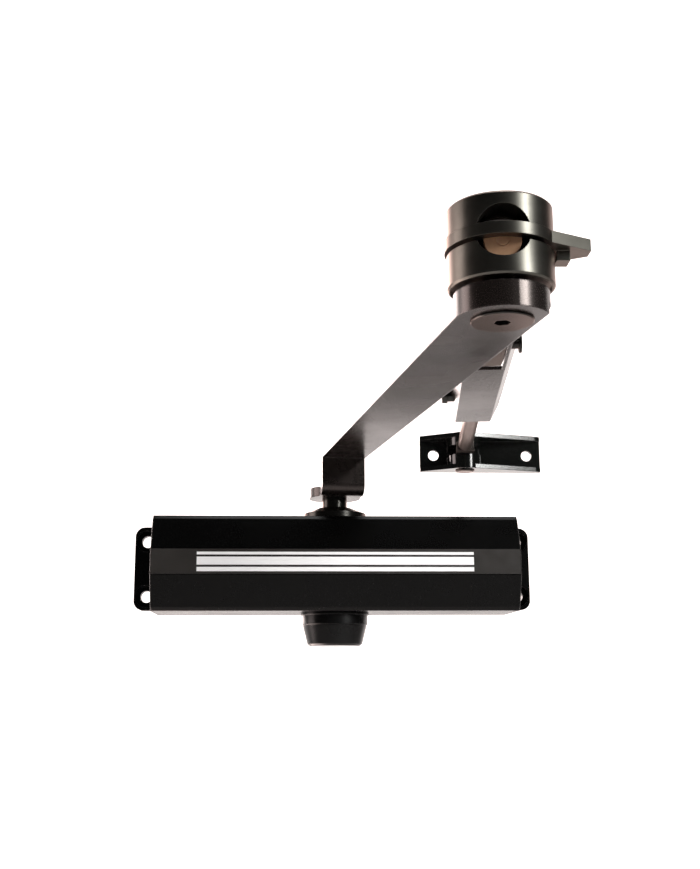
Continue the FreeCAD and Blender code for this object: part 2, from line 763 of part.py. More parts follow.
def make_arm():
    """The stepped bar, along +X from the pinion before it is turned."""
    riser_in = "riser_out - arm_thick"
    far = "arm_reach + elbow_radius + 1"
    side = prism("XZ_Plane", [
        ("-hub_radius - 1", "arm_low"),
        ("riser_out", "arm_low"),
        ("riser_out", "arm_high"),
        (far, "arm_high"),
        (far, "arm_high + arm_thick"),
        (riser_in, "arm_high + arm_thick"),
        (riser_in, "arm_low + arm_thick"),
        ("-hub_radius - 1", "arm_low + arm_thick"),
    ], "2 * elbow_radius + 2")
    place(side, ("0", "elbow_radius + 1", "0"))
    outer = size_of("bend_radius")
    across = FreeCAD.Vector(0, 1, 0)
    edge_out = size_of("riser_out")
    edge_in = edge_out - size_of("arm_thick")
    levels = (size_of("arm_low"), size_of("arm_high") + size_of("arm_thick"))

    def is_bend(edge, reach, level):
        middle = edge.CenterOfMass
        return along_axis(edge, across) and abs(middle.x - reach) < 0.01 and abs(middle.z - level) < 0.01

    side = fillet(side, outer,
                  lambda edge: is_bend(edge, edge_out, levels[0]) or is_bend(edge, edge_in, levels[1]))
    plan = prism("XY_Plane", [
        ("0", "-arm_left_hub"),
        ("arm_reach", "-elbow_radius"),
        ("arm_reach", "arm_right"),
        ("0", "arm_right"),
    ], "arm_high + arm_thick + 5")
    hub_end = cylinder("hub_radius", "arm_high", ("0", "0", "0"))
    elbow_disc = cylinder("elbow_radius", "arm_high + arm_thick + 5", ("arm_reach", "0", "0"))
    outside = box(("arm_reach - 2 * elbow_radius", "arm_right", "-1"),
                  ("4 * elbow_radius", "elbow_radius", "arm_high + arm_thick + 7"))
    bar = common(side, fuse(plan, hub_end, cut(elbow_disc, outside)))
    boss = cylinder("elbow_radius", "boss_rise + 1", ("arm_reach", "0", "arm_high + arm_thick - 1"))
    bar = fuse(bar, boss)
    hole = cylinder("bolt_radius + fit", "arm_thick + boss_rise + 2", ("arm_reach", "0", "arm_high - 1"))
    square = box(("-square_side / 2 - fit", "-square_side / 2 - fit", "arm_low - 1"),
                 ("square_side + 2 * fit", "square_side + 2 * fit", "arm_thick + 2"))
    node(place(cut(bar, hole, square), PINION_AT, ARM_TURN), "main_arm")


def make_arm_screw():
    top = "arm_low + arm_thick"
    washer = tube("screw_radius + 0.2", "washer_radius", top, top + " + washer_thick")
    node(place(washer, PINION_AT), "arm_washer")
    seat = "(%s + washer_thick)" % top
    shank = cylinder("screw_radius - 0.05", "14 + washer_thick",
                     ("0", "0", seat + " - 13 - washer_thick"))
    head = hexagon("screw_head", "screw_head_high", ("0", "0", seat))
    node(place(fuse(shank, head), PINION_AT), "arm_screw")


# ---- elbow -------------------------------------------------------------------

FOREARM_TURN = "90 - forearm_angle"
DRUM_LOW = "(arm_high + arm_thick + boss_rise + washer_gap)"
LEVER_TOP = "(lever_low + lever_thick)"
STEM_STEP = "(arm_high + arm_thick + boss_rise)"
CAM_RADIUS = "(drum_radius - drum_wall - cam_clear)"
LEVER_OUTER = "(drum_radius + lever_over)"
ROLLER_OUTER = "(drum_radius - roller_recess)"
CAM_LOW = "(%s + drum_floor + 0.1)" % DRUM_LOW
ROLLER_LEVEL = "(window_level - roller_drop)"
CAM_TOP = "(%s - roller_radius - 0.05)" % ROLLER_LEVEL


def make_pivot():
    shank = turned([
        ("0", "arm_high - bolt_head_thick"),
        ("bolt_head_radius - 0.3", "arm_high - bolt_head_thick"),
        ("bolt_head_radius", "arm_high - bolt_head_thick + 0.3"),
        ("bolt_head_radius", "arm_high"),
        ("bolt_radius", "arm_high"),
        ("bolt_radius", STEM_STEP),
        ("stem_radius", STEM_STEP),
        ("stem_radius", "drum_top - 0.4"),
        ("0", "drum_top - 0.4"),
    ])
    socket = hexagon("bolt_socket", "3", ("0", "0", "arm_high - bolt_head_thick - 1"))
    flat = box(("-stem_radius - 1", "stem_radius - 0.6", CAM_LOW),
               ("2 * stem_radius + 2", "3", CAM_TOP + " - " + CAM_LOW))
    node(place(cut(shank, socket, flat), ELBOW_AT, ARM_TURN), "pivot_bolt")
    nut_low = "drum_top - nut_recess_deep + 0.1"
    nut = cut(hexagon("nut_size", "nut_thick", ("0", "0", nut_low)),
              cylinder("stem_radius + 0.05", "nut_thick + 2", ("0", "0", nut_low + " - 1")))
    node(place(nut, ELBOW_AT, ARM_TURN), "pivot_nut")
    washer = tube("stem_radius + 0.1", "groove_inner", STEM_STEP, STEM_STEP + " + washer_gap - 0.05")
    node(place(washer, ELBOW_AT, ARM_TURN), "elbow_washer")


def make_cam():
    """A face cam keyed to the pivot bolt, with a V notch across it where the roller drops in."""
    disc = cylinder(CAM_RADIUS, CAM_TOP + " - " + CAM_LOW, ("0", "0", CAM_LOW))
    hole = cut(cylinder("stem_radius + 0.05", "20", ("0", "0", CAM_LOW + " - 5")),
               box(("-stem_radius - 1", "stem_radius - 0.55", CAM_LOW + " - 6"),
                   ("2 * stem_radius + 2", "3", "22")))
    notch = prism("XZ_Plane", [
        ("-cam_notch - 1.4", "cam_notch - 0.6"),
        ("0", "-0.9"),
        ("cam_notch + 1.4", "cam_notch - 0.6"),
    ], CAM_RADIUS + " + 2")
    place(notch, ("0", "0", CAM_TOP), "450 - forearm_angle - hold_angle - arm_angle")
    node(place(cut(disc, hole, notch), ELBOW_AT, ARM_TURN), "detent_cam")


def window_cut(start):
    """The round window, which points away from the forearm."""
    hole = cylinder("window_radius", "drum_radius + 2 - " + start,
                    ("-drum_radius - 2", "0", "window_level"), "X")
    return hole


def make_drum():
    """The lower half of the drum, with the tongue that reaches into the trough."""
    shell = turned([
        ("stem_radius + fit", DRUM_LOW),
        ("groove_inner", DRUM_LOW),
        ("groove_inner", DRUM_LOW + " + groove_deep"),
        ("drum_radius - drum_rim", DRUM_LOW + " + groove_deep"),
        ("drum_radius - drum_rim", DRUM_LOW + " + rim_step"),
        ("drum_radius - drum_rim / 2", DRUM_LOW + " + rim_step"),
        ("drum_radius", DRUM_LOW + " + rim_step + drum_rim / 2"),
        ("drum_radius", "drum_low_top"),
        ("drum_radius - drum_wall", "drum_low_top"),
        ("drum_radius - drum_wall", DRUM_LOW + " + drum_floor"),
        ("stem_radius + fit", DRUM_LOW + " + drum_floor"),
    ])
    neck = box(("drum_radius - drum_wall + 0.2", "-tongue_half - neck_wider", DRUM_LOW),
               ("trough_start - neck_gap - drum_radius + drum_wall", "2 * (tongue_half + neck_wider)", "tongue_high"))
    wider = "(tongue_half + tongue_high * (trough_high_half - trough_low_half) / trough_high)"
    tongue = prism("YZ_Plane", [
        ("-tongue_half", "0"),
        ("tongue_half", "0"),
        (wider, "tongue_high"),
        ("-" + wider, "tongue_high"),
    ], "tongue_end - trough_start + 2 * neck_gap")
    place(tongue, ("trough_start - 2 * neck_gap", "0", DRUM_LOW))
    solid = fuse(shell, neck, tongue)
    rivet_hole = cylinder("rivet_radius + 0.02", "4 * tongue_half",
                          ("rivet_place", "-2 * tongue_half", RIVET_LEVEL), "Y")
    node(place(cut(solid, window_cut("6"), rivet_hole), ELBOW_AT, FOREARM_TURN), "forearm_head")
    spigot_out = "(drum_radius - drum_wall - 0.02)"
    cap = turned([
        ("%s - spigot_wall" % spigot_out, "drum_low_top - 3"),
        (spigot_out, "drum_low_top - 3"),
        (spigot_out, LEVER_TOP + " + lever_gap"),
        ("drum_radius", LEVER_TOP + " + lever_gap"),
        ("drum_radius", "drum_top - 0.8"),
        ("drum_radius - 0.8", "drum_top"),
        ("nut_recess", "drum_top"),
        ("nut_recess", "drum_top - nut_recess_deep"),
        ("stem_radius + fit", "drum_top - nut_recess_deep"),
        ("stem_radius + fit", "drum_roof"),
        ("%s - spigot_wall" % spigot_out, "drum_roof"),
    ])
    node(place(cut(cap, window_cut("6")), ELBOW_AT, FOREARM_TURN), "hold_open_cap")


def make_roller():
    """The bronze roller lies on a radial pin behind the window, and the carrier ring holds the pin."""
    level = ROLLER_LEVEL
    start = "-" + ROLLER_OUTER
    pin_start = start + " - 0.4"
    blank = cylinder("roller_radius", "roller_long", (start, "0", level), "X")
    bore = cylinder("roller_pin + fit", "roller_long + 2", (start + " - 1", "0", level), "X")
    node(place(cut(blank, bore), ELBOW_AT, FOREARM_TURN), "detent_roller")
    pin = cylinder("roller_pin", ROLLER_OUTER + " - stem_radius - 0.6", (pin_start, "0", level), "X")
    node(place(group(pin), ELBOW_AT, FOREARM_TURN), "roller_pin")
    carrier_outer = ROLLER_OUTER + " - roller_long - roller_side"
    ring = tube("stem_radius + fit", carrier_outer, CAM_TOP + " + 0.3", "drum_roof - 2.4")
    pin_hole = cylinder("roller_pin + 0.01", ROLLER_OUTER, (pin_start, "0", level), "X")
    node(place(cut(ring, pin_hole), ELBOW_AT, FOREARM_TURN), "roller_carrier")
    discs = []
    rise = " + 0.4"
    for start, inner, outer in (("drum_roof - 2.2", rise, ""), ("drum_roof - 1.1", "", rise)):
        discs.append(turned([
            ("stem_radius + 0.2", start + inner),
            ("disc_outer", start + outer),
            ("disc_outer", start + outer + " + disc_thick"),
            ("stem_radius + 0.2", start + inner + " + disc_thick"),
        ]))
    node(place(group(*discs), ELBOW_AT, FOREARM_TURN), "disc_springs")


def make_lever():
    """The ring between the drum halves, with a pointed handle and a tab bent down."""
    ring = tube("drum_radius - drum_wall + 0.05", LEVER_OUTER, "lever_low", LEVER_TOP)
    start = "(%s - 3)" % LEVER_OUTER
    handle = prism("XY_Plane", [
        ("4", "-" + start),
        (start, "-10"),
        ("handle_reach", "-handle_tip"),
        ("handle_reach", "handle_tip"),
        (start, "10"),
        ("4", start),
    ], "lever_thick")
    place(handle, ("0", "0", "lever_low"))
    inside = cylinder("drum_radius - drum_wall + 0.05", "30", ("0", "0", "lever_low - 10"))
    tab = box(("drum_radius + 0.45", "-tab_half", "lever_low - tab_drop"),
              ("tab_thick", "2 * tab_half", "tab_drop + 1"))
    solid = cut(fuse(ring, handle), inside)
    node(place(fuse(solid, tab), ELBOW_AT, "-handle_angle"), "hold_open_lever")


# ---- forearm -----------------------------------------------------------------

RIVET_LEVEL = "(%s + 3)" % DRUM_LOW
ROD_LOW = "(%s + trough_sheet + rod_lift)" % DRUM_LOW
ROD_MIDDLE = "(%s + rod_radius)" % ROD_LOW


def trough_section(inset, low):
    """The trough's trapezoid in the plane across the forearm, at z from its own underside."""
    slope = "((trough_high_half - trough_low_half) / trough_high)"
    foot = "(trough_low_half - %s + %s * %s)" % (inset, slope, low)
    head = "(trough_high_half - %s)" % inset
    return [("-" + foot, low), (foot, low), (head, "trough_high"), ("-" + head, "trough_high")]


def make_trough():
    outer = prism("YZ_Plane", trough_section("0", "0"), "trough_end + trough_over - trough_start")
    place(outer, ("trough_start", "0", DRUM_LOW))
    inner = prism("YZ_Plane", trough_section("trough_sheet", "trough_sheet"),
                  "trough_end + trough_over - trough_start + 2")
    place(inner, ("trough_start - 1", "0", DRUM_LOW + " + 0.001"))
    opening = prism("YZ_Plane", trough_section("trough_sheet", "0"), "web_start - trough_start + 1")
    place(opening, ("trough_start - 1", "0", DRUM_LOW))
    rivet_hole = cylinder("rivet_radius + 0.02", "4 * trough_high_half",
                          ("rivet_place", "-2 * trough_high_half", RIVET_LEVEL), "Y")
    clamp_hole = cylinder("clamp_radius + 0.1", "2 * trough_high_half",
                          ("clamp_place", "0", ROD_MIDDLE), "Y")
    beyond = prism("XZ_Plane", [
        ("trough_end", "0"),
        ("trough_end - trough_over / trough_high", "-1"),
        ("trough_end + 2 * trough_over", "-1"),
        ("trough_end + 2 * trough_over", "trough_high + 1"),
        ("trough_end + trough_over + trough_over / trough_high", "trough_high + 1"),
    ], "4 * trough_high_half")
    place(beyond, ("0", "2 * trough_high_half", DRUM_LOW))
    solid = cut(outer, inner, opening, rivet_hole, clamp_hole, beyond)
    node(place(solid, ELBOW_AT, FOREARM_TURN), "forearm_trough")


def side_at(level):
    """The trough's outer half width at a level above its underside."""
    return "(trough_low_half + (trough_high_half - trough_low_half) * (%s) / trough_high)" % level


def make_rivet():
    half = side_at("3 + rivet_head")
    shank = cylinder("rivet_radius", "2 * %s" % half, ("rivet_place", "-" + half, RIVET_LEVEL), "Y")
    heads = [cylinder("rivet_head", "rivet_head_thick", ("rivet_place", start, RIVET_LEVEL), "Y")
             for start in (half, "-%s - rivet_head_thick" % half)]
    node(place(fuse(shank, *heads), ELBOW_AT, FOREARM_TURN), "forearm_rivet")


def make_clamp():
    """The block that guides the rod in the trough, and the screw that locks the rod."""
    half = side_at("trough_high / 2") + " - trough_sheet - 2.4"
    low = DRUM_LOW + " + trough_sheet + 0.02"
    high = ROD_MIDDLE + " + rod_radius + block_wall"
    block = box(("clamp_place - block_half", "-(%s)" % half, low),
                ("2 * block_half", "2 * (%s)" % half, "%s - (%s)" % (high, low)))
    slot = cylinder("rod_radius + rod_fit", "2 * block_half + 2",
                    ("clamp_place - block_half - 1", "0", ROD_MIDDLE), "X")
    hole = cylinder("clamp_radius + 0.05", "20", ("clamp_place", "0", ROD_MIDDLE), "Y")
    node(place(cut(block, slot, hole), ELBOW_AT, FOREARM_TURN), "clamp_block")
    wall = side_at("trough_sheet + rod_lift + rod_radius + clamp_head")
    shank = cylinder("clamp_radius", "%s + 0.2 - rod_radius - rod_fit - 0.1" % wall,
                     ("clamp_place", "rod_radius + rod_fit + 0.1", ROD_MIDDLE), "Y")
    head = cylinder("clamp_head", "clamp_head_thick", ("clamp_place", wall + " + 0.2", ROD_MIDDLE), "Y")
    socket_at = ("clamp_place", wall + " + 0.2 + clamp_head_thick - 1.6", ROD_MIDDLE)
    socket = cylinder("clamp_radius - 0.8", "2.4", socket_at, "Y")
    node(place(cut(fuse(shank, head), socket), ELBOW_AT, FOREARM_TURN), "clamp_screw")


def make_rod():
    """A round rod that is flattened into a spade with an eye at the shoe."""
    rod_end = "shoe_reach - spade_long"
    bar = cylinder("rod_radius", rod_end + " - rod_start + 3", ("rod_start", "0", ROD_MIDDLE), "X")
    spade = box((rod_end, "-spade_half", ROD_LOW), ("spade_long", "2 * spade_half", "spade_thick"))
    eye = cylinder("spade_half", "spade_thick", ("shoe_reach", "0", ROD_LOW))
    hole = cylinder("pin_radius + fit", "spade_thick + 2", ("shoe_reach", "0", ROD_LOW + " - 1"))
    node(place(cut(fuse(bar, spade, eye), hole), ELBOW_AT, FOREARM_TURN), "forearm_rod")


# ---- shoe --------------------------------------------------------------------

SHOE_AT = ("arm_reach * sin(arm_angle) + shoe_reach * sin(forearm_angle)",
           "-pinion_setback - arm_reach * cos(arm_angle) + shoe_reach * cos(forearm_angle)", "0")


def make_shoe():
    """A pressed bracket: a back plate, two flanges, and a knuckle whose slot holds the rod's spade."""
    high = "shoe_high - shoe_low"
    back = "shoe_back"
    front = "(%s - shoe_lip)" % back
    plate = box(("-shoe_left", "shoe_back - shoe_sheet", "shoe_low"),
                ("shoe_left + shoe_right", "shoe_sheet", high))
    flanges = []
    for level in ("shoe_low", "shoe_high - shoe_sheet"):
        leaf = prism("XY_Plane", [
            ("-shoe_left", back + " - 0.5"),
            ("-shoe_left", front + " + shoe_corner * 0.6"),
            ("-shoe_left + shoe_corner", front),
            ("-shoe_nose * 0.5", "-shoe_nose * 0.85"),
            ("shoe_nose * 0.5", "-shoe_nose * 0.85"),
            ("shoe_right - shoe_corner", front),
            ("shoe_right", front + " + shoe_corner * 0.6"),
            ("shoe_right", back + " - 0.5"),
        ], "shoe_sheet")
        flanges.append(place(leaf, ("0", "0", level)))
    knuckle = cylinder("shoe_nose", high, ("0", "0", "shoe_low"))
    behind = box(("-shoe_nose", "0", "shoe_low"), ("2 * shoe_nose", back + " - shoe_sheet / 2", high))
    slot = box(("-2 * shoe_nose", "-3 * shoe_nose", ROD_LOW + " - shoe_slot_gap"),
               ("4 * shoe_nose", "3 * shoe_nose + shoe_slot_back", "spade_thick + 2 * shoe_slot_gap"))
    level = "(shoe_low + shoe_high) / 2 - shoe_hole_drop"
    cuts = [slot, cylinder("pin_radius + 0.02", high + " + 2", ("0", "0", "shoe_low - 1"))]
    for across in ("-shoe_left + shoe_hole_inset", "shoe_right - shoe_hole_inset"):
        cuts.append(cylinder("shoe_hole_radius", "2 * shoe_sheet",
                             (across, "shoe_back - 1.5 * shoe_sheet", level), "Y"))
    node(place(cut(fuse(plate, knuckle, behind, *flanges), *cuts), SHOE_AT), "shoe_bracket")
    profile = turned([
        ("0", "shoe_low - pin_head_thick"),
        ("pin_head - 1.2", "shoe_low - pin_head_thick"),
        ("pin_head - 0.3", "shoe_low - pin_head_thick + 0.4"),
        ("pin_head", "shoe_low"),
        ("pin_radius", "shoe_low"),
        ("pin_radius", "shoe_high"),
        ("pin_head - 1", "shoe_high"),
        ("pin_head - 1", "shoe_high + 1.2"),
        ("0", "shoe_high + 1.2"),
    ])
    node(place(profile, SHOE_AT), "shoe_pin")


def build():
    make_housing()
    make_label()
    make_plug(-1, "end_plug_left")
    make_plug(1, "end_plug_right")
    make_plug_rings()
    make_valve(1, "closing_valve")
    make_valve(-1, "latching_valve")
    make_valve_rings()
    make_pinion()
    make_piston()
    make_check_valve()
    make_spring()
    make_bearings()
    make_glands()
    make_arm()
    make_arm_screw()
    make_pivot()
    make_cam()
    make_drum()
    make_roller()
    make_lever()
    make_trough()
    make_rivet()
    make_clamp()
    make_rod()
    make_shoe()


def check():
    """Stops the build if any feature failed or any sub-part has no valid solid."""
    doc.recompute()
    for item in doc.Objects:
        if "Invalid" in item.State or "Error" in item.State:
            raise RuntimeError("feature failed: %s (%s)" % (item.Name, item.Label))
    for item in NODES:
        if item.Shape.isNull() or not item.Shape.isValid() or not item.Shape.Solids:
            raise RuntimeError("no valid solid: " + item.Label)


def export():
    os.makedirs("parts", exist_ok=True)
    for item in NODES:
        item.Shape.exportStep("parts/%s.step" % item.Label)


build()
check()
export()
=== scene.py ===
"""Looks of a surface-mounted door closer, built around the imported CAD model. Units are metres."""
import math

import bpy
from mathutils import Matrix, Vector


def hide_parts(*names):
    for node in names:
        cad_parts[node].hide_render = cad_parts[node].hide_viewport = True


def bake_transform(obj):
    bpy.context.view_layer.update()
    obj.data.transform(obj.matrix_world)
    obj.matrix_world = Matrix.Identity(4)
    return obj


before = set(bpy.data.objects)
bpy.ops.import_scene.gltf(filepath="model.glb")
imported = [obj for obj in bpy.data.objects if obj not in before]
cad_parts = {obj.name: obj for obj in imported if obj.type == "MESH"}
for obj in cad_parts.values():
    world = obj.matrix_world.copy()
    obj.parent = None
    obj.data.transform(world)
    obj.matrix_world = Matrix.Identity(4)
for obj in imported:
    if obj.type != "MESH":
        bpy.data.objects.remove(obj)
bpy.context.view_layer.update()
scene = bpy.context.scene

# ---- camera -----------------------------------------------------------------
# The view is a little from the left and from below, as in the photograph.
CAMERA_AT = Vector((-0.02869, -0.61731, -0.05769))
CAMERA_YAW = 0.0619
CAMERA_PITCH = 0.2117
CAMERA_ROLL = -0.005
SENSOR = 36.0
LENS = 47.2
NEAREST = 0.01
FARTHEST = 50


def add_camera():
    """The camera looks along +Y, turned by the yaw, the pitch and the roll."""
    forward = Vector((
        math.sin(CAMERA_YAW) * math.cos(CAMERA_PITCH),
        math.cos(CAMERA_YAW) * math.cos(CAMERA_PITCH),
        math.sin(CAMERA_PITCH),
    ))
    right = forward.cross(Vector((0, 0, 1))).normalized()
    up = right.cross(forward)
    basis = Matrix((right, up, -forward)).transposed()
    data = bpy.data.cameras.new("camera")
    data.sensor_width = SENSOR
    data.lens = LENS
    data.clip_start = NEAREST
    data.clip_end = FARTHEST
    camera = bpy.data.objects.new("camera", data)
    turn = basis @ Matrix.Rotation(CAMERA_ROLL, 3, "Z")
    camera.matrix_world = Matrix.Translation(CAMERA_AT) @ turn.to_4x4()
    scene.collection.objects.link(camera)
    scene.camera = camera


# ---- node helpers -----------------------------------------------------------
# The scale of each noise, in features to the metre.
CLOUD_SCALE = 28.0
SMUDGE_SCALE = 38.0
FADE_SCALE = 45.0
SCUFF_SCALE = 60.0
STAIN_SCALE = 90.0
FILM_SCALE = 200.0
WEAR_SCALE = 420.0
PEEL_SCALE = 900.0
SPARK_SCALE = 1400.0
FILM_GRAIN_SCALE = 1500.0
DUST_SCALE = 2600.0
GRAIN_SCALE = 3600.0
# The depth of each relief, in metres.
SPARK_DEPTH = 0.00002
FILM_GRAIN_DEPTH = 0.00001
# The radius that each kind of edge is rounded to, in metres.
MACHINED_EDGE = 0.0003
MOULDED_EDGE = 0.0005
BEVEL_SAMPLES = 4
COAT_ROUGH = 0.12
PRINT_SPECULAR = 0.3


class Tree:
    """A material's node tree, with short calls for the nodes that the finishes share."""

    def __init__(self, name):
        self.material = bpy.data.materials.new(name)
        self.material.use_nodes = True
        self.nodes = self.material.node_tree.nodes
        self.links = self.material.node_tree.links
        self.shader = self.nodes["Principled BSDF"]
        self.place = self.nodes.new("ShaderNodeTexCoord").outputs["Object"]

    def link(self, source, target):
        """Joins a socket to the target, or sets the target to a number or colour."""
        if isinstance(source, bpy.types.NodeSocket):
            self.links.new(source, target)
        else:
            target.default_value = source

    def feed(self, name, source):
        """Joins or sets one of the shader's inputs."""
        self.link(source, self.shader.inputs[name])

    def stretched(self, stretch):
        """The object's own coordinates, scaled along each axis."""
        node = self.nodes.new("ShaderNodeMapping")
        node.inputs["Scale"].default_value = stretch
        self.link(self.place, node.inputs["Vector"])
        return node.outputs["Vector"]

    def apart(self):
        """The object's own coordinates as three separate sockets, by name."""
        node = self.nodes.new("ShaderNodeSeparateXYZ")
        self.link(self.place, node.inputs["Vector"])
        return node.outputs

    def noise(self, scale, detail=4.0, stretch=(1, 1, 1)):
        """Fractal noise from 0 to 1 whose features are about 1 / scale metres."""
        node = self.nodes.new("ShaderNodeTexNoise")
        node.inputs["Scale"].default_value = scale
        node.inputs["Detail"].default_value = detail
        self.link(self.stretched(stretch), node.inputs["Vector"])
        return node.outputs["Fac"]

    def ramp(self, value, low, high, bottom=0.0, top=1.0):
        """Maps low..high to bottom..top, and stays at the ends outside it."""
        node = self.nodes.new("ShaderNodeMapRange")
        node.inputs["From Min"].default_value = low
        node.inputs["From Max"].default_value = high
        node.inputs["To Min"].default_value = bottom
        node.inputs["To Max"].default_value = top
        self.link(value, node.inputs["Value"])
        return node.outputs["Result"]

    def math(self, operation, first, second):
        """One arithmetic step."""
        node = self.nodes.new("ShaderNodeMath")
        node.operation = operation
        self.link(first, node.inputs[0])
        self.link(second, node.inputs[1])
        return node.outputs[0]

    def mix(self, factor, first, second):
        """A blend of two colours."""
        node = self.nodes.new("ShaderNodeMix")
        node.data_type = "RGBA"
        self.link(factor, node.inputs["Factor"])
        self.link(first, node.inputs["A"])
        self.link(second, node.inputs["B"])
        return node.outputs["Result"]

    def rounded(self, radius):
        """The normal with its edges rounded off."""
        node = self.nodes.new("ShaderNodeBevel")
        node.samples = BEVEL_SAMPLES
        node.inputs["Radius"].default_value = radius
        return node.outputs["Normal"]

    def bump(self, height, depth, normal=None):
        """Relief of the given depth in metres."""
        node = self.nodes.new("ShaderNodeBump")
        node.inputs["Strength"].default_value = 1.0
        node.inputs["Distance"].default_value = depth
        self.link(height, node.inputs["Height"])
        if normal is not None:
            self.link(normal, node.inputs["Normal"])
        return node.outputs["Normal"]

    def edges(self, normal):
        """1 on a worn edge, where the rounded normal leaves the flat one, and 0 elsewhere."""
        geometry = self.nodes.new("ShaderNodeNewGeometry")
        dot = self.nodes.new("ShaderNodeVectorMath")
        dot.operation = "DOT_PRODUCT"
        self.link(normal, dot.inputs[0])
        self.link(geometry.outputs["Normal"], dot.inputs[1])
        worn = self.ramp(dot.outputs["Value"], 0.97, 0.82)
        return self.math("MULTIPLY", worn, self.ramp(self.noise(WEAR_SCALE), 0.42, 0.62))


def colour(value):
    """A grey or an (r, g, b) as the four numbers that a socket takes."""
    red, green, blue = value if isinstance(value, tuple) else (value, value, value)
    return (red, green, blue, 1.0)


def shade(value, factor):
    """A lighter or darker version of a colour."""
    return tuple(min(1.0, channel * factor) for channel in colour(value)[:3])


# ---- finishes ---------------------------------------------------------------
def painted(name, base, rough, edge, tint=(1.0, 1.0, 1.0), peel=0.00003, coat=0.0, radius=0.0006,
            specular=0.5):
    """Paint with orange peel, faint cloudiness, fine dust in its gloss, and worn edges."""
    tree = Tree(name)
    cloud = tree.noise(CLOUD_SCALE, 5.0)
    body = tree.mix(tree.ramp(cloud, 0.1, 0.9), colour(shade(base, 0.75)), colour(shade(base, 1.3)))
    normal = tree.rounded(radius)
    worn = tree.math("MULTIPLY", tree.edges(normal), 0.35)
    tree.feed("Base Color", tree.mix(worn, body, colour(edge)))
    smudge = tree.ramp(tree.noise(SMUDGE_SCALE, 2.0), 0.1, 0.9, rough - 0.05, rough + 0.07)
    dust = tree.ramp(tree.noise(DUST_SCALE, 1.0), 0.5, 0.9, 0.0, 0.08)
    tree.feed("Roughness", tree.math("ADD", smudge, dust))
    tree.feed("Normal", tree.bump(tree.noise(PEEL_SCALE, 3.0), peel, normal))
    tree.feed("Specular Tint", colour(tint))
    tree.feed("Specular IOR Level", specular)
    tree.feed("Coat Weight", coat)
    tree.feed("Coat Roughness", COAT_ROUGH)
    return tree.material


def machined(name, base, rough, grain, metallic=1.0, depth=0.000004, spread=0.05, tint=(1.0, 1.0, 1.0)):
    """Turned or drawn metal: fine grain along one direction, stains, and bright edges."""
    tree = Tree(name)
    stain = tree.noise(STAIN_SCALE, 6.0)
    lines = tree.noise(GRAIN_SCALE, 2.0, grain)
    body = tree.mix(tree.ramp(stain, 0.3, 0.7), colour(shade(base, 0.75)), colour(shade(base, 1.2)))
    normal = tree.rounded(MACHINED_EDGE)
    worn = tree.math("MULTIPLY", tree.edges(normal), 0.5)
    tree.feed("Base Color", tree.mix(worn, body, colour(shade(base, 2.2))))
    tree.feed("Roughness", tree.ramp(lines, 0.3, 0.7, rough - spread, rough + spread))
    tree.feed("Normal", tree.bump(lines, depth, normal))
    tree.feed("Metallic", metallic)
    tree.feed("Specular Tint", colour(tint))
    return tree.material


def moulded(name, base, rough, sheen=0.0, specular=0.5):
    """Moulded plastic or rubber with a fine spark-eroded grain and scuffs."""
    tree = Tree(name)
    scuff = tree.noise(SCUFF_SCALE, 7.0)
    tree.feed("Base Color", tree.mix(tree.ramp(scuff, 0.45, 0.75), colour(base), colour(shade(base, 1.5))))
    tree.feed("Roughness", tree.ramp(scuff, 0.35, 0.7, rough - 0.04, rough + 0.1))
    tree.feed("Normal", tree.bump(tree.noise(SPARK_SCALE, 2.0), SPARK_DEPTH, tree.rounded(MOULDED_EDGE)))
    tree.feed("Sheen Weight", sheen)
    tree.feed("Specular IOR Level", specular)
    return tree.material


# The label's white stripes, from the middle of the label, in metres.
STRIPE_LEFT = -0.0699
STRIPE_RIGHT = 0.0687
STRIPES = ((0.00331, 0.00469), (-0.00173, 0.00224), (-0.00497, -0.00285))
STRIPE_BLUR = 0.00008


def printed(name, plate, ink):
    """A dark printed film whose middle carries three white stripes."""
    tree = Tree(name)
    split = tree.apart()

    def between(value, low, high):
        above = tree.ramp(value, low - STRIPE_BLUR, low + STRIPE_BLUR)
        below = tree.ramp(value, high + STRIPE_BLUR, high - STRIPE_BLUR)
        return tree.math("MULTIPLY", above, below)

    across = between(split["X"], STRIPE_LEFT, STRIPE_RIGHT)
    rows = 0.0
    for low, high in STRIPES:
        rows = tree.math("ADD", rows, between(split["Z"], low, high))
    mask = tree.math("MULTIPLY", across, rows)
    fade = tree.ramp(tree.noise(FADE_SCALE, 5.0), 0.3, 0.7)
    film = tree.mix(fade, colour(shade(plate, 0.85)), colour(shade(plate, 1.15)))
    white = tree.mix(fade, colour(shade(ink, 0.97)), colour(ink))
    tree.feed("Base Color", tree.mix(mask, film, white))
    tree.feed("Roughness", tree.ramp(tree.noise(FILM_SCALE, 4.0), 0.3, 0.7, 0.34, 0.46))
    tree.feed("Normal", tree.bump(tree.noise(FILM_GRAIN_SCALE, 2.0), FILM_GRAIN_DEPTH))
    tree.feed("Specular IOR Level", PRINT_SPECULAR)
    return tree.material


WARM = (1.0, 0.86, 0.82)
# How the grain is stretched: round the Z axis, or along an axis.
ROUND_Z = (0.02, 0.02, 1)
ALONG_Y = (1, 0.03, 1)
ALONG_X = (0.03, 1, 1)


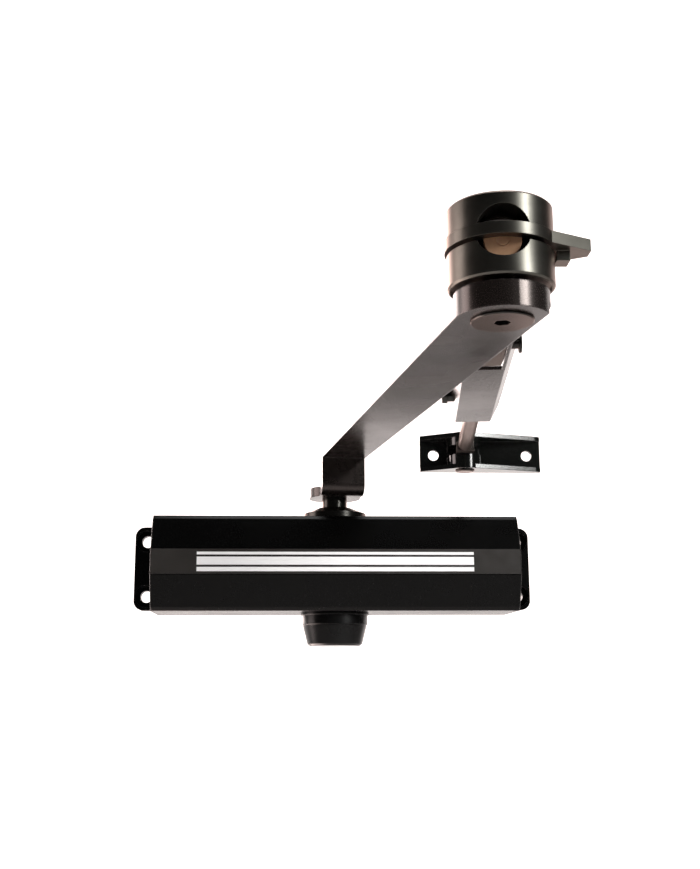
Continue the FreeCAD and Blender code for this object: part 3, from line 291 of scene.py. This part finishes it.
def make_finishes():
    """One material for each look, by name."""
    return {
        "body": painted("body_paint", (0.0014, 0.0014, 0.0014), 0.26, 0.03, peel=0.000012, radius=0.0008,
                        specular=0.09),
        "label": printed("label_film", (0.026, 0.0235, 0.022), (0.99, 0.99, 1.0)),
        "plug": machined("plug_steel", (0.16, 0.16, 0.17), 0.34, ALONG_X),
        "rubber": moulded("seal_rubber", 0.012, 0.55, sheen=0.15),
        "spring": machined("spring_steel", (0.26, 0.26, 0.28), 0.33, ALONG_X),
        "steel": machined("machined_steel", (0.42, 0.42, 0.43), 0.28, ROUND_Z),
        "bronze": machined("bearing_bronze", (0.5, 0.31, 0.15), 0.38, ROUND_Z),
        "collar": machined("dark_metal", (0.028, 0.028, 0.026), 0.24, ROUND_Z, metallic=0.9, depth=0.0000006,
                           spread=0.012, tint=WARM),
        "drum": machined("drum_metal", (0.068, 0.066, 0.058), 0.32, ROUND_Z, metallic=0.95, depth=0.0000006,
                         spread=0.01, tint=WARM),
        "cap": moulded("cap_plastic", 0.0015, 0.24, specular=0.17),
        "arm": painted("arm_paint", (0.008, 0.0062, 0.0056), 0.25, 0.1, tint=WARM, peel=0.000003,
                       radius=0.0007, specular=0.42),
        "rod": machined("rod_metal", (0.09, 0.08, 0.074), 0.33, ALONG_Y, metallic=0.8, depth=0.000003,
                        tint=WARM),
        "shoe": painted("shoe_paint", (0.003, 0.0034, 0.003), 0.14, 0.05, coat=0.1, radius=0.0005,
                        specular=0.35),
        "ptfe": moulded("guide_ring", (0.3, 0.27, 0.2), 0.45),
        "roller": machined("roller_bronze", (0.5, 0.29, 0.17), 0.36, ALONG_Y, metallic=0.3),
    }


NODE_FINISH = {
    "body": ("body_casting",),
    "label": ("label_strip",),
    "plug": ("end_plug_left", "end_plug_right", "arm_screw", "arm_washer", "pivot_nut", "elbow_washer"),
    "rubber": ("plug_o_rings", "upper_seal", "lower_seal", "closing_valve_ring", "latching_valve_ring"),
    "spring": ("main_spring", "disc_springs"),
    "steel": ("spring_seat", "detent_cam", "piston", "check_valve_ball", "closing_valve",
              "latching_valve", "roller_carrier"),
    "bronze": ("upper_bush", "lower_bush", "check_valve_seat"),
    "collar": ("pinion_shaft", "top_collar", "bottom_gland", "pivot_bolt", "forearm_rivet", "clamp_screw",
               "shoe_pin"),
    "drum": ("forearm_head", "hold_open_cap", "hold_open_lever", "clamp_block"),
    "cap": ("pinion_cap",),
    "arm": ("main_arm", "forearm_trough"),
    "rod": ("forearm_rod",),
    "shoe": ("shoe_bracket",),
    "ptfe": ("piston_guide_rings",),
    "roller": ("detent_roller", "roller_pin"),
}


def dress():
    """Gives every CAD node its finish."""
    finishes = make_finishes()
    left = set(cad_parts)
    for look, names in NODE_FINISH.items():
        for name in names:
            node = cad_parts[name]
            node.data.materials.clear()
            node.data.materials.append(finishes[look])
            left.discard(name)
    if left:
        raise ValueError("these nodes have no finish: %s" % sorted(left))


def add_spring():
    """The main spring again, as a separate piece, with the CAD node hidden."""
    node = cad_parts["main_spring"]
    coil = bpy.data.objects.new("closing_spring", node.data.copy())
    coil.matrix_world = node.matrix_world
    scene.collection.objects.link(coil)
    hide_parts("main_spring")
    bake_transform(coil)


# ---- stage and light --------------------------------------------------------
FLOOR_LEVEL = -0.55
WALL_AT = 3.4
STAGE_HALF = 6.0
SWEEP = 1.0
SWEEP_STEPS = 12
STAGE_GREY = 0.85
GLOW = 1.3
GLOW_TINT = (1.0, 0.91, 0.88)
# The glow grows from nothing to full between these distances behind the object.
GLOW_SPAN = (1.2, 2.45)
WORLD_TINT = (0.95, 0.93, 0.93)
WORLD_STRENGTH = 0.05
# Each light's name, place, aim, width and height, watts and tint.
LIGHTS = (
    ("left", (-1.0, 0.05, 0.12), (0.03, -0.12, 0.04), (0.5, 0.9), 9, (1.0, 0.86, 0.83)),
    ("top", (0.1, -0.1, 1.4), (0.03, -0.1, 0.03), (0.9, 0.6), 9, (1.0, 1.0, 1.0)),
    ("back", (-0.45, 0.95, 0.32), (0.02, -0.15, 0.05), (0.8, 0.7), 12, (1.0, 0.84, 0.8)),
    ("right", (1.0, -1.15, 0.6), (0.04, -0.2, 0.05), (0.3, 0.6), 24, (1.0, 1.0, 0.98)),
    ("bounce", (-0.25, 0.2, -0.5), (0.03, -0.1, 0.03), (0.7, 0.6), 10, (1.0, 0.8, 0.74)),
)


def add_stage():
    """A pale floor that curves up into a plain backdrop."""
    profile = [(-STAGE_HALF, FLOOR_LEVEL), (WALL_AT - SWEEP, FLOOR_LEVEL)]
    for step in range(1, SWEEP_STEPS + 1):
        angle = math.pi / 2 * step / SWEEP_STEPS
        depth = WALL_AT - SWEEP + SWEEP * math.sin(angle)
        profile.append((depth, FLOOR_LEVEL + SWEEP - SWEEP * math.cos(angle)))
    profile.append((WALL_AT, STAGE_HALF))
    points = []
    for across in (-STAGE_HALF, STAGE_HALF):
        points.extend((across, depth, level) for depth, level in profile)
    count = len(profile)
    faces = [(i, i + 1, count + i + 1, count + i) for i in range(count - 1)]
    mesh = bpy.data.meshes.new("stage")
    mesh.from_pydata(points, [], faces)
    mesh.polygons.foreach_set("use_smooth", [True] * len(faces))
    stage = bpy.data.objects.new("stage", mesh)
    scene.collection.objects.link(stage)
    tree = Tree("stage_white")
    tree.feed("Base Color", colour(STAGE_GREY))
    tree.feed("Roughness", 1.0)
    tree.feed("Specular IOR Level", 0.0)
    tree.feed("Emission Color", colour(GLOW_TINT))
    tree.feed("Emission Strength", tree.ramp(tree.apart()["Y"], *GLOW_SPAN, 0.0, GLOW))
    mesh.materials.append(tree.material)


def add_light(name, at, target, size, power, tint):
    """A soft rectangular light aimed at a point."""
    data = bpy.data.lights.new(name, "AREA")
    data.shape = "RECTANGLE"
    data.size = size[0]
    data.size_y = size[1]
    data.energy = power
    data.color = tint
    light = bpy.data.objects.new(name, data)
    light.location = at
    aim = Vector(target) - Vector(at)
    light.rotation_euler = aim.to_track_quat("-Z", "Y").to_euler()
    scene.collection.objects.link(light)


def add_lights():
    """Soft lights from above and from the right, and warm ones from the left, from behind and from below."""
    world = bpy.data.worlds.new("world")
    world.use_nodes = True
    background = world.node_tree.nodes["Background"]
    background.inputs["Color"].default_value = colour(WORLD_TINT)
    background.inputs["Strength"].default_value = WORLD_STRENGTH
    scene.world = world
    for light in LIGHTS:
        add_light(*light)
    scene.view_settings.view_transform = "Standard"
    scene.view_settings.look = "None"


add_camera()
dress()
add_spring()
add_stage()
add_lights()
